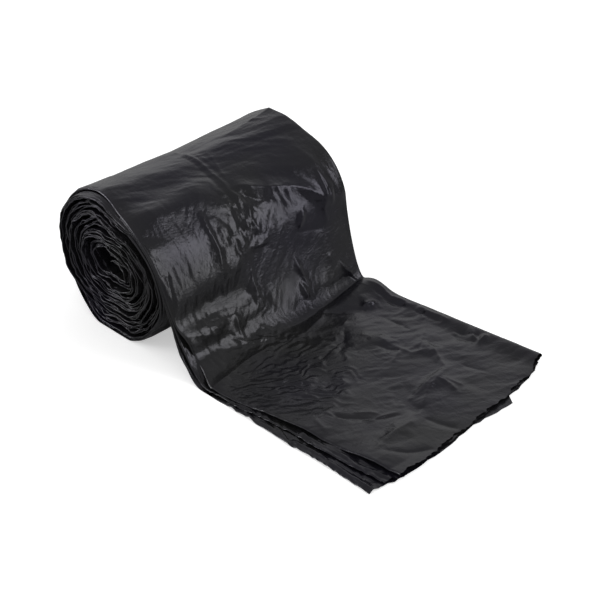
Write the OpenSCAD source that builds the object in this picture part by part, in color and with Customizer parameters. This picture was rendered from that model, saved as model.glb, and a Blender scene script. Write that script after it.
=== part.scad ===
// Roll of bin bags: a folded strip of plastic bags wound on itself around an open core,
// with its outer end unrolled onto the floor.
// X is the way the strip unrolls, Y is the axis of the roll, Z is up and the floor is at z = 0.

/* [Bag strip] */
// Width of the folded strip, which is the length of the roll
strip_w = 175; // [120:1:260]
// Thickness of the folded strip, all its plies together
strip_t = 2.5; // [1.4:0.1:3.2]

/* [Roll] */
// Number of turns on the roll
turns = 11; // [5:1:13]
// Air between one turn and the next at the tight end
turn_gap = 1.6; // [1.2:0.1:2.4]
// Air that each turn gains towards the loose end
far_slack = 0.75; // [0:0.05:1]
// How far the loose end sags towards the unrolled strip
far_sag = 1; // [0:0.5:8]
// Width of the open core
core_w = 35; // [24:1:50]
// Height of the open core
core_h = 15; // [10:1:24]
// Lean of the flattened roll from level, at the near end
near_lean = -13; // [-20:1:0]
// Lean of the flattened roll from level, at the far end
far_lean = 14; // [0:1:20]
// How far the roll's own weight flattens it against the floor
flat_rest = 1.2; // [0.4:0.1:3]
// How far the edges of the turns stand in or out of line
edge_stagger = 1.5; // [0:0.1:3]
// How far the outer turn is drawn in from the near end, on top of the roll
edge_recess = 8; // [0:0.5:14]

/* [Drop to the floor] */
// Angle up the roll at which the strip leaves it, at the near end
near_leave = 8; // [0:1:20]
// Angle up the roll at which the strip leaves it, at the far end
far_leave = 11; // [0:1:40]
// Distance from the side of the roll to where the strip meets the floor, at the near end
near_run = 50; // [35:1:80]
// The same distance at the far end
far_run = 24; // [16:1:50]

/* [Unrolled end] */
// Length of the strip that lies on the floor, along its near edge
floor_run = 136; // [80:1:260]
// How much wider the loosened strip lies along its near edge
near_spread = 5.5; // [0:0.5:10]
// How much wider it lies along its far edge, at the torn end
far_spread = 7; // [0:0.5:12]
// How far the plies fan out along the near edge
ply_fan = 22; // [6:1:30]
// Height that the loose plies stand up by along the near edge
near_loft = 2.2; // [0:0.1:4]
// Height that the rolled-over fold stands up by along the far edge
far_loft = 3.4; // [0:0.1:6]
// Height of the ripples in the film
ripple_h = 0.9; // [0:0.1:1.6]
// Height of the pucker where the far edge meets the floor
pucker_h = 6; // [0:0.5:10]

/* [Torn edge] */
// How far the middle of the torn edge reaches past its corners
end_bow = 8; // [0:0.5:14]
// Depth of the teeth left by the perforation
tooth_depth = 1.4; // [0.2:0.1:2.5]
// Reach of the lowest ply past the torn edge
tongue_reach = 6.5; // [1:0.5:12]
// Width of the lowest ply where it reaches past the torn edge
tongue_w = 38; // [20:1:60]

/* [Hidden] */
film_black = [0.13, 0.13, 0.14];

// Steps around a turn, down the drop and along the floor
TURN_STEPS = 26;
DROP_STEPS = 12;
FLOOR_STEPS = 18;
WOUND = turns * TURN_STEPS;
LANDED = WOUND + DROP_STEPS;
LAST = LANDED + FLOOR_STEPS;
// The ring from which the outer turn is drawn with fine steps across
FINE_FROM = WOUND - TURN_STEPS;
FIRST_FINE = FINE_FROM + 1;
// Parts across the strip: two inside the roll, and more where it can be seen
PLAIN = 2;
FINE = 10;
// Teeth of the torn edge to each part across, with two steps to a tooth
TEETH = 3;
TORN = FINE * TEETH * 2;

// The wound oval: its mean radius at the core, and what flattening adds and takes
core_r = (core_w + core_h) / 4;
oval = (core_w - core_h) / 4;
// The strip's centre line at the innermost turn
wind_r = core_r + strip_t / 2;
// What makes the roll uneven takes up part of the air between the turns, so that no turn
// meets the next: lobes that grow outwards, creases, and a core that sits off centre
lobe3 = 0.07 * turn_gap * turns;
lobe4 = 0.06 * turn_gap * turns;
crease_h = 0.35 * turn_gap;
core_off = [0.32 * turn_gap * turns, 0.24 * turn_gap * turns];
// Angle at which the lobes of the second kind start
LOBE_START = 60;
// Broad and narrow creases: their number to a turn, their drift in each turn and from the
// near end to the far end, and their height as a share of crease_h
BROAD = [7, 14, 50, 1];
NARROW = [11, -16, 100, 0.4];
// The slack at the far end is 1, and this is the share of it that the centre fold has
FAR = 1;
FOLD_SLACK = 0.31;
// Bulge of the rounded far fold, as a share of its height
FOLD_ROUND = 0.3;

// How far the drop holds the direction in which it leaves the roll, as a share of its
// height at the near and the far end, and how soon it turns level, as a share of its run
HOLD = [0.4, 0.45];
LEVEL = 0.56;
// The pucker: distance past the end of the drop, length, and the part of the width it takes
PUCKER_PAST = 8;
PUCKER_L = 13;
PUCKER_SPAN = [0.7, 0.95];
// Width of the loft along the near edge and along the far fold, as a share of the strip
LOFT_NEAR = 0.16;
LOFT_FAR = 0.06;
// Angles that the ripples run through across the strip, along it and aslant
RIPPLE_ACROSS = 520;
RIPPLE_ALONG = 640;
RIPPLE_SLANT = 300;
// Angle that the stagger of the edges runs through in a turn, and how far the two edges differ
STAGGER_TURN = 97;
STAGGER_FAR = 200;
// Parts of the outer turn over which its near edge draws in and comes back
RECESS_IN = [0.3, 0.5];
RECESS_OUT = [0.72, 0.96];
// Share of the far edge's spread where the strip meets the floor
LANDED_SPREAD = 0.35;
// How evenly the near edge spreads down the drop, and the plies fan out along the floor
SPREAD_POWER = 1.4;
FAN_POWER = 0.75;
// How flat the bow of the torn edge is in its middle
BOW_POWER = 4;

function lerp(a, b, s) = a + (b - a) * s;
function clamp01(s) = min(1, max(0, s));
function smooth(s) = let (c = clamp01(s)) c * c * (3 - 2 * c);
function hump(s) = exp(-s * s);

// The slack at a place across the strip, v = 0 at the near edge and 1 at the far edge:
// it rises in two straight stretches that meet at the centre fold
function slack(v) = v < 0.5 ? lerp(0, FOLD_SLACK, 2 * v) : lerp(FOLD_SLACK, FAR, 2 * v - 1);

// Growth of the radius in each turn
function pitch(e) = strip_t + turn_gap + far_slack * e;
function leave_angle(e) = lerp(near_leave, far_leave, e);
function lean(e) = lerp(near_lean, far_lean, e);

// Angle around the roll after k turns: the last turn eases into the angle at which it leaves
function wind_angle(k, e) = 360 * (turns - k) + leave_angle(e) * smooth(k - turns + 1);

function crease(kind, k, angle, e) =
    kind[3] * crease_h * sin(kind[0] * angle + kind[1] * k + kind[2] * e);
function wind_radius(k, angle, e) =
    wind_r + pitch(e) * k
    + oval * cos(2 * (angle - lean(e)))
    + k / turns * (lobe3 * cos(3 * angle) + lobe4 * cos(4 * angle - LOBE_START))
    + crease(BROAD, k, angle, e) + crease(NARROW, k, angle, e);

// The turn that lies on the floor, its half height and the height of the roll's centre
REST_TURN = turns - 0.75;
function rest_h(e) = wind_r + pitch(e) * REST_TURN + oval * cos(2 * (270 - lean(e)));
function hub(k, e) =
    [
        core_off[0] * (1 - k / turns) + far_sag * e,
        rest_h(e) + strip_t / 2 - flat_rest + core_off[1] * (REST_TURN - k) / turns
    ];

// The flat spot: no turn sinks below the floor, or into the turns that lie under it
function floor_level(k, e) = strip_t / 2 + round(REST_TURN - k) * (pitch(e) + core_off[1] / turns);

function wound(k, e) =
    let (angle = wind_angle(k, e), r = wind_radius(k, angle, e), h = hub(k, e))
    [h[0] + r * cos(angle), max(h[1] + r * sin(angle), floor_level(k, e))];

// Where the strip leaves the roll, which way it heads there, and where it meets the floor
function leave_point(e) = wound(turns, e);
function heading(e) =
    let (step = leave_point(e) - wound(turns - 0.01, e))
    step / norm(step);
function side_x(e) = wind_r + pitch(e) * turns + oval + far_sag * e;
function land_x(e) = side_x(e) + lerp(near_run, far_run, e);

// The drop is one cubic curve, from the roll's own direction to level on the floor
function drop_reach(e) = lerp(HOLD[0], HOLD[1], e) * leave_point(e)[1];
function bezier(a, b, c, d, s) =
    a * pow(1 - s, 3) + b * 3 * s * pow(1 - s, 2) + c * 3 * s * s * (1 - s) + d * pow(s, 3);
function drop(s, e) =
    let (
        top = leave_point(e),
        foot = [land_x(e), strip_t / 2],
        sweep = LEVEL * lerp(near_run, far_run, e)
    )
    bezier(top, top + heading(e) * drop_reach(e), foot - [sweep, 0], foot, s);

// The end line on the floor, bowed outwards between its corners
end_x0 = land_x(0) + floor_run;
function end_x(u) = end_x0 + end_bow * (1 - pow(abs(2 * u - 1), BOW_POWER));

// Share of the way along the floor
function floor_share(i) = clamp01((i - LANDED) / FLOOR_STEPS);
function land_share(i) = smooth((i - WOUND) / DROP_STEPS);

// A smooth rise from 0 to 1 over a span
function rise(s, span) = smooth((s - span[0]) / (span[1] - span[0]));

// The pucker at the far edge lifts the whole strip, just past where it meets the floor
function pucker(x, v) =
    pucker_h * hump((x - land_x(FAR) - PUCKER_PAST) / PUCKER_L) * rise(v, PUCKER_SPAN);

// Centre line of the strip at ring i: v is the place across the wound strip, and u is
// the same place as a share of the width there, which differs where the plies fan out
function centre(i, v, u) =
    let (e = slack(v))
    i <= WOUND ? wound(i / TURN_STEPS, e)
    : i <= LANDED ? let (p = drop((i - WOUND) / DROP_STEPS, e)) p + [0, pucker(p[0], v)]
    : let (x = lerp(land_x(e), end_x(u), floor_share(i))) [x, strip_t / 2 + pucker(x, v)];

// Unit vector to the outer side of the strip
function outward(i, v) =
    let (
        along = centre(min(i + 1, LAST), v, v) - centre(max(i - 1, 0), v, v),
        side = i > LANDED ? [0, 1] : [-along[1], along[0]]
    )
    side / norm(side);

// Extra height of the outer side where the strip lies loose
function loft(i, v) =
    let (s = floor_share(i), free = land_share(i))
    free * (
        near_loft * hump(v / LOFT_NEAR)
        + far_loft * hump((1 - v) / LOFT_FAR) * lerp(0.5, 1, s)
        + ripple_h * (
            1 + sin(RIPPLE_ACROSS * v + RIPPLE_SLANT * s) * cos(RIPPLE_ALONG * s - RIPPLE_SLANT * v)
        )
    );

// Edges of the strip: the lowest ply's near edge, and the far edge
function stagger(i, phase) =
    edge_stagger * sin(i / TURN_STEPS * STAGGER_TURN + phase) * (1 - land_share(i));
function recess(i) =
    let (s = (i - FINE_FROM) / TURN_STEPS)
    edge_recess * rise(s, RECESS_IN) * (1 - rise(s, RECESS_OUT));
function near_y(i) =
    -strip_w / 2 + stagger(i, 0) + recess(i) - near_spread * pow(land_share(i), SPREAD_POWER);
function far_y(i) =
    let (spread = land_share(i) * lerp(LANDED_SPREAD, 1, floor_share(i)))
    strip_w / 2 + stagger(i, STAGGER_FAR) + far_spread * spread;

// How far the top ply draws back from the lowest one at the near edge: the middle ply
// draws back half as far
EDGE_STEP = 0.6;
function ply_back(i) = lerp(EDGE_STEP, ply_fan, pow(floor_share(i), FAN_POWER));

// A point of ring i: side is 0 on the inner face and 1 on the outer face
function skin(i, v, side, y) =
    let (
        u = (y - near_y(i)) / (far_y(i) - near_y(i)),
        h = lerp(-strip_t / 2, strip_t / 2 + loft(i, v), side),
        p = centre(i, v, u) + outward(i, v) * h
    )
    [p[0], y, p[1]];

function inner_y(i, v) = lerp(near_y(i), far_y(i), v);
function outer_y(i, v) = lerp(near_y(i) + (i <= FINE_FROM ? 0 : ply_back(i)), far_y(i), v);

// A ring inside the roll: the outer face from near to far, then the inner face back
function plain_ring(i) = concat(
    [for (j = [0 : PLAIN]) skin(i, j / PLAIN, 1, outer_y(i, j / PLAIN))],
    [for (j = [PLAIN : -1 : 0]) skin(i, j / PLAIN, 0, inner_y(i, j / PLAIN))]
);

// The rounded fold along the far edge, and the steps of the plies along the near edge
function far_fold(i) =
    let (deep = strip_t + loft(i, 1), p = skin(i, 1, 0.5, far_y(i)))
    p + [0, FOLD_ROUND * deep, 0];
function ply_steps(i) =
    let (low = near_y(i), back = ply_back(i))
    [
        skin(i, 0, 1 / 3, low),
        skin(i, 0, 1 / 3, low + back / 2),
        skin(i, 0, 2 / 3, low + back / 2),
        skin(i, 0, 2 / 3, low + back)
    ];

// A ring of the outer turn or of the unrolled end
function fine_ring(i) = concat(
    [for (j = [0 : FINE]) skin(i, j / FINE, 1, outer_y(i, j / FINE))],
    [far_fold(i)],
    [for (j = [FINE : -1 : 0]) skin(i, j / FINE, 0, inner_y(i, j / FINE))],
    ply_steps(i)
);

// The torn edge: teeth, and the lowest ply that reaches past them and ends in a tongue
TOOTH_ROOT = tooth_depth + 0.6;
LOW_PLY_STEP = 0.4;
// The teeth differ in depth by this share, and the angle makes them differ without a rhythm
TOOTH_VARY = 0.4;
TOOTH_TURN = 77;
// Where the tongue starts across the strip
TONGUE_AT = 0.52;
function tooth(j) =
    j % 2 == 0 ? 0 : -tooth_depth * (1 - TOOTH_VARY + TOOTH_VARY * sin(j * TOOTH_TURN));
function tongue(v) =
    let (s = (v - TONGUE_AT) / (tongue_w / strip_w))
    LOW_PLY_STEP + (s <= 0 || s > 1 ? 0 : tongue_reach * s);
function torn_point(j, side, low) =
    let (v = j / TORN, p = skin(LAST, v, side, outer_y(LAST, v)))
    p + [TOOTH_ROOT + tooth(j) + (low ? tongue(v) : 0), 0, 0];
function torn_row(side, low) = [for (j = [0 : TORN]) torn_point(j, side, low)];

// The closed line round the end of the strip, in the order of a fine ring
function torn_ring() = concat(
    torn_row(1, false),
    [far_fold(LAST) + [TOOTH_ROOT, 0, 0]],
    [for (j = [TORN : -1 : 0]) torn_point(j, 0, true)],
    [skin(LAST, 0, 0, near_y(LAST)) + [TOOTH_ROOT, 0, 0]],
    [for (p = ply_steps(LAST)) p + [TOOTH_ROOT, 0, 0]]
);

// Counts of points in each kind of ring, and where each ring starts in the list of points
PLAIN_N = 2 * (PLAIN + 1);
FINE_N = 2 * (FINE + 1) + 5;
TORN_N = 2 * (TORN + 1) + 6;
function ring_at(i) =
    i < FIRST_FINE ? i * PLAIN_N : FIRST_FINE * PLAIN_N + (i - FIRST_FINE) * FINE_N;
TORN_AT = ring_at(LAST) + FINE_N;
LEDGE_IN = TORN_AT + TORN_N;
LEDGE_OUT = LEDGE_IN + TORN + 1;

strip_points = concat(
    [for (i = [0 : FINE_FROM]) each plain_ring(i)],
    [for (i = [FIRST_FINE : LAST]) each fine_ring(i)],
    torn_ring(),
    torn_row(1 / 3, false),
    torn_row(1 / 3, true)
);

// Triangles between two rings of n points
function band(a, b, n) = [
    for (q = [0 : n - 1])
        let (r = (q + 1) % n)
        each [[a + q, a + r, b + r], [a + q, b + r, b + q]]
];

// Triangles between a ring of few points and one of many: keys names, for each point of
// the first, the point of the second that it meets
function seam(a, n, b, m, keys) = [
    for (q = [0 : n - 1])
        let (
            first = keys[q],
            last = q == n - 1 ? m : keys[q + 1],
            half = floor((first + last) / 2),
            next = a + (q + 1) % n
        )
        each concat(
            [for (f = [first : 1 : half - 1]) [a + q, b + (f + 1) % m, b + f]],
            [[a + q, next, b + half % m]],
            [for (f = [half : 1 : last - 1]) [next, b + (f + 1) % m, b + f]]
        )
];

PER_PLAIN = FINE / PLAIN;
fine_keys = concat(
    [for (j = [0 : PLAIN]) j * PER_PLAIN],
    [for (j = [0 : PLAIN]) FINE + 2 + j * PER_PLAIN]
);
PER_FINE = TORN / FINE;
torn_keys = concat(
    [for (j = [0 : FINE]) j * PER_FINE],
    [TORN + 1],
    [for (j = [0 : FINE - 1]) TORN + 2 + j * PER_FINE],
    [for (j = [3 : 7]) 2 * TORN + j]
);

function quad(a, b, c, d) = [[a, b, c], [a, c, d]];

// The inner end of the strip, at the core
core_end = [
    for (j = [0 : PLAIN - 1]) each quad(j, PLAIN_N - 1 - j, PLAIN_N - 2 - j, j + 1)
];

// The torn end: the upper plies, the ledge of the lowest ply, and the lowest ply
torn_face = let (
    top = TORN_AT,
    fold = TORN_AT + TORN + 1,
    low = function(j) fold + 1 + TORN - j,
    step = fold + TORN + 2,
    step_top = step + 4
) concat(
    [for (j = [1 : TORN - 1]) each quad(top + j, top + j + 1, LEDGE_IN + j + 1, LEDGE_IN + j)],
    [for (j = [0 : TORN - 1])
        each quad(LEDGE_IN + j, LEDGE_IN + j + 1, LEDGE_OUT + j + 1, LEDGE_OUT + j)],
    [for (j = [0 : TORN - 1]) each quad(LEDGE_OUT + j, LEDGE_OUT + j + 1, low(j + 1), low(j))],
    [
        [top + TORN, fold, LEDGE_IN + TORN],
        [LEDGE_IN + TORN, fold, LEDGE_OUT + TORN],
        [LEDGE_OUT + TORN, fold, low(TORN)],
        [step_top, top, top + 1],
        [step_top, top + 1, LEDGE_IN + 1],
        [step_top, LEDGE_IN + 1, LEDGE_IN]
    ],
    quad(step, step + 1, LEDGE_OUT, low(0)),
    quad(step + 1, step + 2, LEDGE_IN, LEDGE_OUT),
    quad(step + 2, step + 3, step_top, LEDGE_IN)
);

strip_faces = concat(
    core_end,
    [for (i = [0 : FINE_FROM - 1]) each band(ring_at(i), ring_at(i + 1), PLAIN_N)],
    seam(ring_at(FINE_FROM), PLAIN_N, ring_at(FIRST_FINE), FINE_N, fine_keys),
    [for (i = [FIRST_FINE : LAST - 1]) each band(ring_at(i), ring_at(i + 1), FINE_N)],
    seam(ring_at(LAST), FINE_N, TORN_AT, TORN_N, torn_keys),
    torn_face
);

module bag_roll() {
    color(film_black)
    polyhedron(points = strip_points, faces = strip_faces, convexity = 12);
}

bag_roll();
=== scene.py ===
"""Roll of bin bags: black film wound on an open core, its end drawn down to the floor."""

import math

import bpy
import numpy as np
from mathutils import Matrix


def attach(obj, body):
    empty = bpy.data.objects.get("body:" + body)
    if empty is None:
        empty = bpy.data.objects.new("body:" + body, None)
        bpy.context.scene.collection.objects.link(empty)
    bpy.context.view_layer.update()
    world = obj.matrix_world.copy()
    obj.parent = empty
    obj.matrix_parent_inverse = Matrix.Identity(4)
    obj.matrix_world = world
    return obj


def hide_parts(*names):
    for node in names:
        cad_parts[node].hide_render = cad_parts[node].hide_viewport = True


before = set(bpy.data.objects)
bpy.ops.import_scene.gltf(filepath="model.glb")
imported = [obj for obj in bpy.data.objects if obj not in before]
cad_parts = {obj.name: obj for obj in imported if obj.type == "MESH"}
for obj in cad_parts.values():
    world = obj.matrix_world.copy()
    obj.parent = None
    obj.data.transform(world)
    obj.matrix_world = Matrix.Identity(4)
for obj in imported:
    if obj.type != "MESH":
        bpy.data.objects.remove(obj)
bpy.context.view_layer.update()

MM = 0.001

# Camera, in millimetres and degrees
AZIMUTH, ELEVATION, LENS = 43.5, 31.0, 57.0
DISTANCE, AIM_RIGHT, AIM_UP = 761.925, 78.83, -11.065

# The strip and the roll, with the part's own sizes in millimetres and degrees
STRIP_W, STRIP_T, TURNS, TURN_GAP = 175.0, 2.5, 11, 1.6
FAR_SLACK, FAR_SAG, CORE_W, CORE_H = 0.75, 1.0, 35.0, 15.0
NEAR_LEAN, FAR_LEAN, FLAT_REST = -13.0, 14.0, 1.2
EDGE_STAGGER, EDGE_RECESS = 1.5, 8.0
NEAR_LEAVE, FAR_LEAVE, NEAR_RUN, FAR_RUN, FLOOR_RUN = 8.0, 11.0, 50.0, 24.0, 136.0
NEAR_SPREAD, FAR_SPREAD, PLY_FAN = 5.5, 7.0, 22.0
NEAR_LOFT, FAR_LOFT, PUCKER_H, END_BOW = 2.2, 3.4, 6.0, 8.0
TONGUE_REACH, TONGUE_W, TONGUE_AT = 6.5, 38.0, 0.52
TURN_STEPS, DROP_STEPS, FLOOR_STEPS = 36, 14, 22
WOUND = TURNS * TURN_STEPS
LANDED = WOUND + DROP_STEPS
LAST = LANDED + FLOOR_STEPS
OUTER_FROM = WOUND - TURN_STEPS
OVAL = (CORE_W - CORE_H) / 4
WIND_R = (CORE_W + CORE_H) / 4 + STRIP_T / 2
LOBE3, LOBE4 = 0.07 * TURN_GAP * TURNS, 0.06 * TURN_GAP * TURNS
CREASE_H = 0.35 * TURN_GAP
CORE_OFF = (0.32 * TURN_GAP * TURNS, 0.24 * TURN_GAP * TURNS)
FOLD_SLACK = 0.31
HOLD, LEVEL = (0.4, 0.45), 0.56
REST_TURN = TURNS - 0.75
# Length of the strip between two places on the floor, where it runs on past the end, and how
# many places it runs on
END_STEP, END_LAP = 6.2, 0.3
# Least height over the floor of any film, and of the top ply
FLOOR_SKIN, TOP_SKIN = 0.12, 0.25
# How far the upper plies draw back where the strip comes down, at which place and over how many
GAPE, GAPE_AT, GAPE_OVER = 8.5, 405.6, 3.6


def make_camera():
    """The photograph's view: the image plane is level, and the lens is a plain one."""
    a, e = math.radians(AZIMUTH), math.radians(ELEVATION)
    back = np.array([math.sin(a) * math.cos(e), -math.cos(a) * math.cos(e), math.sin(e)])
    right = np.array([math.cos(a), math.sin(a), 0.0])
    up = np.cross(back, right)
    place = (right * AIM_RIGHT + up * AIM_UP + back * DISTANCE) * MM
    data = bpy.data.cameras.new("camera")
    data.lens = LENS
    data.sensor_width = 36.0
    data.clip_start, data.clip_end = 0.01, 20.0
    camera = bpy.data.objects.new("camera", data)
    bpy.context.scene.collection.objects.link(camera)
    camera.location = place
    camera.rotation_euler = (math.radians(90.0 - ELEVATION), 0.0, a)
    bpy.context.scene.camera = camera


make_camera()


def lerp(a, b, s):
    return a + (b - a) * s


def smooth(s):
    c = np.clip(s, 0, 1)
    return c * c * (3 - 2 * c)


def rise(s, start, end):
    return smooth((s - start) / (end - start))


def hump(s):
    return np.exp(-s * s)


def cosd(a):
    return np.cos(np.radians(a))


def sind(a):
    return np.sin(np.radians(a))


# Where the strip runs: the part's own curves


def slack(v):
    return np.where(v < 0.5, 2 * v * FOLD_SLACK, FOLD_SLACK + (1 - FOLD_SLACK) * (2 * v - 1))


def pitch(e):
    return STRIP_T + TURN_GAP + FAR_SLACK * e


def wound(k, e):
    lean = lerp(NEAR_LEAN, FAR_LEAN, e)
    angle = 360 * (TURNS - k) + lerp(NEAR_LEAVE, FAR_LEAVE, e) * smooth(k - TURNS + 1)
    flat = cosd(2 * (angle - lean))
    # The inner turns are pinched to a lens, with a sharp bend at each end
    pinch = 0.9 * (1 - smooth(k / 6))
    turn = np.abs(cosd(angle - lean))
    flat = lerp(flat, 2.55 * turn**3 - 1.5, pinch)
    r = (
        WIND_R
        + pitch(e) * k
        + OVAL * flat
        + k / TURNS * (LOBE3 * cosd(3 * angle) + LOBE4 * cosd(4 * angle - 60))
        + CREASE_H * sind(7 * angle + 14 * k + 50 * e)
        + 0.4 * CREASE_H * sind(11 * angle - 16 * k + 100 * e)
    )
    rest = WIND_R + pitch(e) * REST_TURN + OVAL * cosd(2 * (270 - lean))
    x = CORE_OFF[0] * (1 - k / TURNS) + FAR_SAG * e + r * cosd(angle)
    hub = rest + STRIP_T / 2 - FLAT_REST + CORE_OFF[1] * (REST_TURN - k) / TURNS
    level = STRIP_T / 2 + np.floor(REST_TURN - k + 0.5) * (pitch(e) + CORE_OFF[1] / TURNS)
    return x, np.maximum(hub + r * sind(angle), level)


def land_x(e):
    side = WIND_R + pitch(e) * TURNS + OVAL + FAR_SAG * e
    return side + lerp(NEAR_RUN, FAR_RUN, e)


END_X0 = float(land_x(0.0) + FLOOR_RUN)


def end_x(u):
    return END_X0 + END_BOW * (1 - np.abs(2 * u - 1) ** 4)


def drop(s, e):
    x0, z0 = wound(np.full_like(e, TURNS), e)
    x1, z1 = wound(np.full_like(e, TURNS - 0.01), e)
    n = np.hypot(x0 - x1, z0 - z1)
    reach = lerp(HOLD[0], HOLD[1], e) * z0
    ax, az = x0 + (x0 - x1) / n * reach, z0 + (z0 - z1) / n * reach
    fx, fz = land_x(e), STRIP_T / 2
    bx = fx - LEVEL * lerp(NEAR_RUN, FAR_RUN, e)
    w = ((1 - s) ** 3, 3 * s * (1 - s) ** 2, 3 * s * s * (1 - s), s**3)
    x = w[0] * x0 + w[1] * ax + w[2] * bx + w[3] * fx
    return x, w[0] * z0 + w[1] * az + w[2] * fz + w[3] * fz


def pucker(x, v):
    return PUCKER_H * hump((x - land_x(1.0) - 8) / 13) * rise(v, 0.7, 0.95)


def floor_share(i):
    return np.clip((i - LANDED) / FLOOR_STEPS, 0, 1)


def land_share(i):
    return smooth((i - WOUND) / DROP_STEPS)


def centre(i, v):
    """Centre line of the strip at place i along it and v across it."""
    i, v = np.broadcast_arrays(np.asarray(i, float), np.asarray(v, float))
    e = slack(np.clip(v, 0, 1))
    wx, wz = wound(np.minimum(i, WOUND) / TURN_STEPS, e)
    dx, dz = drop(np.clip((i - WOUND) / DROP_STEPS, 0, 1), e)
    dz = dz + pucker(dx, v)
    fx = lerp(land_x(e), end_x(v), floor_share(i)) + np.maximum(i - LAST, 0) * END_STEP
    fz = STRIP_T / 2 + pucker(fx, v)
    x = np.where(i <= WOUND, wx, np.where(i <= LANDED, dx, fx))
    z = np.where(i <= WOUND, wz, np.where(i <= LANDED, dz, fz))
    return x, z


def outward(i, v):
    """Unit vector, in X and Z, to the outer side of the strip."""
    reach = 0.12
    xa, za = centre(i - reach, v)
    xb, zb = centre(i + reach, v)
    n = np.maximum(np.hypot(xb - xa, zb - za), 1e-9)
    return -(zb - za) / n, (xb - xa) / n


def stagger(i, phase):
    return EDGE_STAGGER * sind(i / TURN_STEPS * 97 + phase) * (1 - land_share(i))


def near_y(i):
    s = (i - OUTER_FROM) / TURN_STEPS
    recess = EDGE_RECESS * rise(s, 0.3, 0.5) * (1 - rise(s, 0.72, 0.96))
    return -STRIP_W / 2 + stagger(i, 0) + recess - NEAR_SPREAD * land_share(i) ** 1.4


def far_y(i):
    spread = land_share(i) * lerp(0.35, 1, floor_share(i))
    return STRIP_W / 2 + stagger(i, 200) + FAR_SPREAD * spread


def ply_back(i):
    return lerp(0.6, PLY_FAN, floor_share(i) ** 0.75)


def gape(i):
    """How much further the upper plies draw back where the strip comes down to the floor."""
    return GAPE * hump((i - GAPE_AT) / GAPE_OVER)


# Noise over a plane. Its seed is fixed, and picks the pattern.


def lattice(seed):
    return np.random.default_rng(seed).uniform(-1, 1, (128, 128))


def grid_at(x, y):
    xi, yi = np.floor(x).astype(int), np.floor(y).astype(int)
    return xi, yi, x - xi, y - yi


def soft_noise(x, y, seed):
    """Smooth noise from -1 to 1, with a hill or hollow to each unit."""
    t = lattice(seed)
    xi, yi, fx, fy = grid_at(x, y)
    fx, fy = fx**3 * (fx * (6 * fx - 15) + 10), fy**3 * (fy * (6 * fy - 15) + 10)
    a, b = t[xi % 128, yi % 128], t[(xi + 1) % 128, yi % 128]
    c, d = t[xi % 128, (yi + 1) % 128], t[(xi + 1) % 128, (yi + 1) % 128]
    return lerp(lerp(a, b, fx), lerp(c, d, fx), fy)


def facet_noise(x, y, seed):
    """Flat facets that meet in straight creases, from -1 to 1."""
    t = lattice(seed)
    xi, yi, fx, fy = grid_at(x, y)
    a, b = t[xi % 128, yi % 128], t[(xi + 1) % 128, yi % 128]
    c, d = t[xi % 128, (yi + 1) % 128], t[(xi + 1) % 128, (yi + 1) % 128]
    low = a + fx * (b - a) + fy * (c - a)
    high = d + (1 - fx) * (c - d) + (1 - fy) * (b - d)
    return np.where(fx + fy < 1, low, high)


def crumple(a, b, size, stretch, angle, seed):
    """Creased film: facets of about that size in mm, drawn out along an angle."""
    ca, sa = math.cos(math.radians(angle)), math.sin(math.radians(angle))
    along, across = (a * ca + b * sa) / (size * stretch), (b * ca - a * sa) / size
    warp = 0.45
    x = along + warp * soft_noise(along * 0.7, across * 0.7, seed + 1)
    y = across + warp * soft_noise(along * 0.8 + 9, across * 0.6, seed + 2)
    return facet_noise(x + 0.5 * y, y, seed)


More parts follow.
